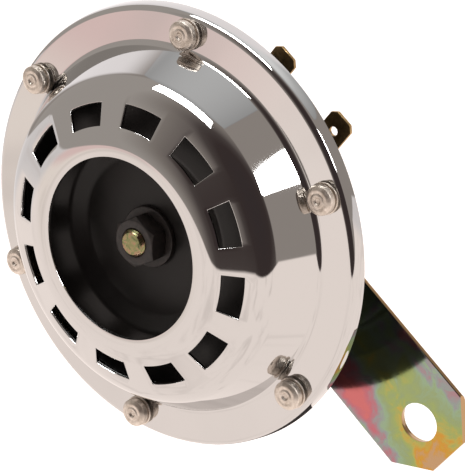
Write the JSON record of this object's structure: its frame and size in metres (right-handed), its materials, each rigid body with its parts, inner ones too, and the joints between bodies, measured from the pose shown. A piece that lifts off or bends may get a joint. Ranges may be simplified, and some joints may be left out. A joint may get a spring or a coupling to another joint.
{
  "type": "electric disc horn",
  "caption": "Round chromed horn: slotted domed cover over a tone disc, riveted rim, blade terminals and a flat strap bracket with a hole.",
  "frame": {"origin": "centre of the bracket's mounting hole, on the rear face of the strap", "axes": "-Y the way the sound leaves, +Z from the horn's axis along the strap to the mounting hole, +X to the right seen from behind; terminals at -X"},
  "size_m": [0.099, 0.0528, 0.1244],
  "materials": {
    "bright_chrome": "polished",
    "nickel_plate": "bright nickel plate",
    "black_enamel": "semi-gloss black",
    "black_oxide": "satin black",
    "yellow_zinc": "yellow-passivated zinc plate",
    "bare_steel": "turned",
    "spring_steel": "rolled",
    "gasket_board": "matte",
    "bobbin_plastic": "matte",
    "copper_wire": "enamelled",
    "insulator_board": "matte",
    "contact_metal": "ground",
    "black_moulding": "matte",
    "blade_brass": "dulled"
  },
  "bodies": {
    "horn": {"front_cover": "bright_chrome", "front_gasket": "gasket_board", "diaphragm": "spring_steel", "rear_gasket": "gasket_board", "housing": "black_enamel", "rim_rivets": "nickel_plate", "rim_rivet_washers": "nickel_plate", "pole_core": "bare_steel", "coil_bobbin": "bobbin_plastic", "coil_winding": "copper_wire", "breaker_rear_insulator": "insulator_board", "breaker_middle_insulator": "insulator_board", "fixed_contact_arm": "blade_brass", "breaker_front_insulator": "insulator_board", "fixed_contact": "contact_metal", "breaker_rivets": "nickel_plate", "adjusting_screw": "yellow_zinc", "adjusting_screw_tip": "insulator_board", "adjuster_bush": "blade_brass", "adjuster_lock_nut": "yellow_zinc", "terminal_block": "black_moulding", "terminal_block_rivets": "nickel_plate", "coil_terminal": "blade_brass", "breaker_terminal": "blade_brass", "bracket": "yellow_zinc", "bracket_lock_washer": "yellow_zinc", "bracket_nut": "yellow_zinc"},
    "armature": {"armature": "yellow_zinc", "diaphragm_washer": "bare_steel", "disc_spacer": "bare_steel", "tone_disc": "black_enamel", "disc_washer": "black_oxide", "disc_nut": "black_oxide"},
    "breaker": {"breaker_spring": "spring_steel", "moving_contact": "contact_metal", "push_pad": "insulator_board"}
  },
  "joints": [
    {"name": "armature_stroke", "type": "slide", "parent": "horn", "child": "armature", "axis": [0, 1, 0], "range_m": [0, 0.0005], "stiffness_N_per_m": 5000, "deforming": ["diaphragm"]},
    {"name": "breaker_opening", "type": "hinge", "parent": "horn", "child": "breaker", "pos_m": [-0.0297, -0.0209, -0.0644], "axis": [0, 0, 1], "range_deg": [0, 1.45], "deforming": ["breaker_spring"]}
  ],
  "couplings": [
    {"joint": "breaker_opening", "follows": "armature_stroke", "rad_per_m": 49}
  ]
}
